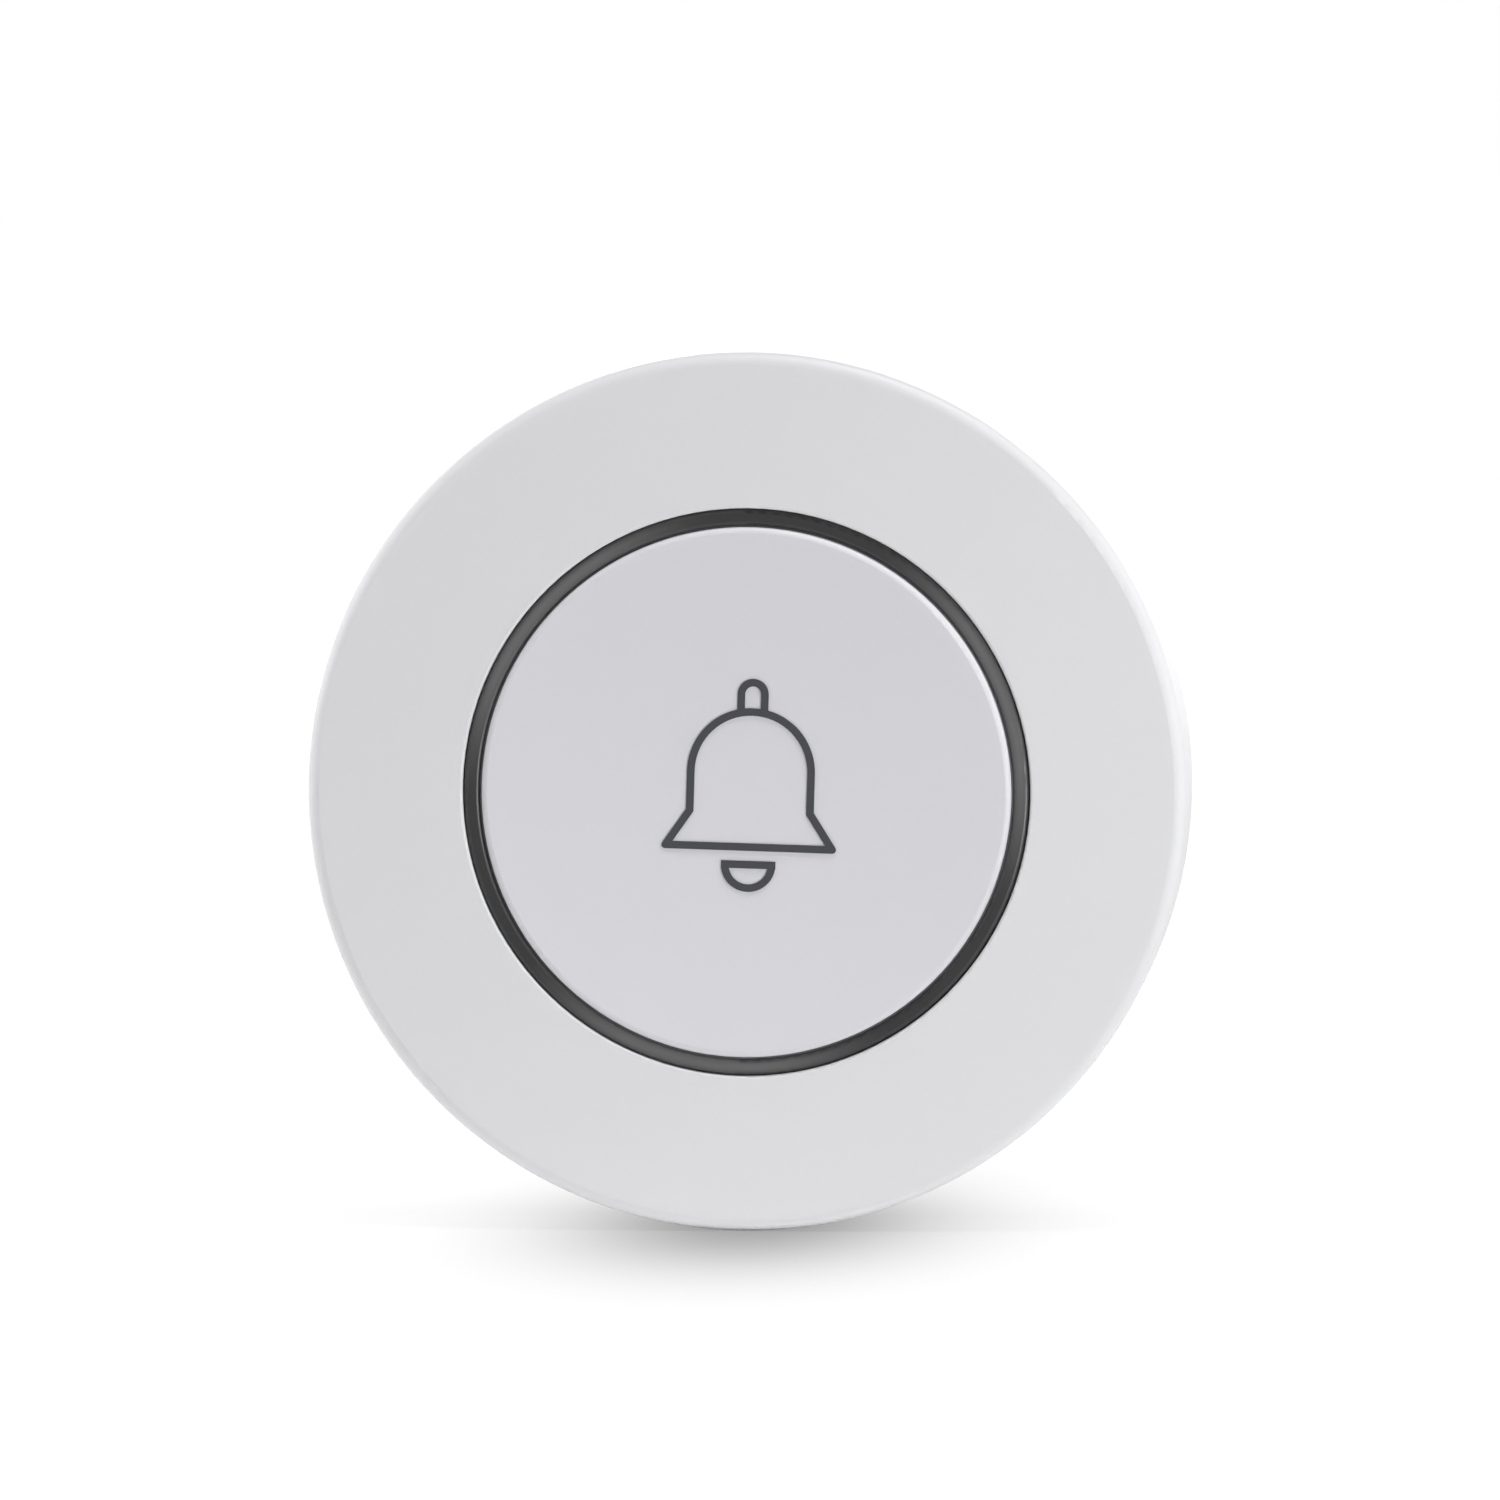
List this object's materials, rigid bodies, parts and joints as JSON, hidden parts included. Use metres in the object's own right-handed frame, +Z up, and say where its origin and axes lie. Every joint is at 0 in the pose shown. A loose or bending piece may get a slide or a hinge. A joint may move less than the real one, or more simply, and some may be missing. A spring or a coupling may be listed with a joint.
{
  "type": "wireless doorbell button",
  "caption": "Round wall-mounted wireless doorbell: a large dished push button with a bell symbol, a smoked light ring and a housing that twists onto a screwed wall plate.",
  "frame": {"origin": "centre of the wall plate's back face, on the wall", "axes": "+Y into the wall, so the push button looks along -Y; +Z up, towards the top of the bell symbol; +X to the right seen from the front"},
  "size_m": [0.065, 0.0143, 0.065],
  "materials": {
    "plate_plastic": "fine moulded texture",
    "cover_plastic": "fine moulded texture",
    "gasket_silicone": "matte",
    "screw_steel": "zinc plated",
    "shell_plastic": "satin",
    "smoked_plastic": "smoked translucent",
    "button_plastic": "satin",
    "print_ink": "printed ink",
    "spring_steel": "drawn wire",
    "frame_plastic": "natural",
    "board_laminate": "solder resist",
    "switch_black": "matte",
    "switch_steel": "stamped",
    "plunger_plastic": "satin",
    "dome_rubber": "matte",
    "tinned_metal": "tinned",
    "led_resin": "cast resin",
    "chip_resin": "moulded epoxy",
    "crystal_can": "plated lid",
    "antenna_copper": "enamelled copper wire",
    "resistor_ceramic": "coated",
    "capacitor_ceramic": "fired",
    "cell_steel": "nickel plated",
    "contact_metal": "plated spring strip"
  },
  "bodies": {
    "plate": {"wall_plate": "plate_plastic"},
    "housing": {"front_shell": "shell_plastic", "rear_cover": "cover_plastic", "cover_gasket": "gasket_silicone", "cover_screws": "screw_steel", "light_ring": "smoked_plastic", "spring_frame": "frame_plastic", "return_springs": "spring_steel", "circuit_board": "board_laminate", "board_screws": "screw_steel", "switch_base": "switch_black", "switch_cover": "switch_steel", "switch_dome": "dome_rubber", "switch_terminals": "tinned_metal", "ring_leds": "led_resin", "radio_chip": "chip_resin", "chip_legs": "tinned_metal", "crystal": "crystal_can", "antenna_coil": "antenna_copper", "chip_resistors": "resistor_ceramic", "chip_capacitors": "capacitor_ceramic", "coin_cell": "cell_steel", "cell_side_contact": "contact_metal", "cell_base_contact": "contact_metal"},
    "button": {"button_cap": "button_plastic", "bell_print": "print_ink"},
    "plunger": {"switch_plunger": "plunger_plastic"}
  },
  "joints": [
    {"name": "unlock_twist", "type": "hinge", "parent": "plate", "child": "housing", "pos_m": [0, 0, 0], "axis": [0, -1, 0], "range_deg": [0, 15]},
    {"name": "press", "type": "slide", "parent": "housing", "child": "button", "axis": [0, 1, 0], "range_m": [0, 0.0008], "stiffness_N_per_m": 1500, "springref_m": -0.0006, "deforming": ["return_springs"]},
    {"name": "plunger_slide", "type": "slide", "parent": "housing", "child": "plunger", "axis": [0, 1, 0], "range_m": [0, 0.0008], "deforming": ["switch_dome"]}
  ],
  "couplings": [
    {"joint": "plunger_slide", "follows": "press", "ratio": 1}
  ]
}
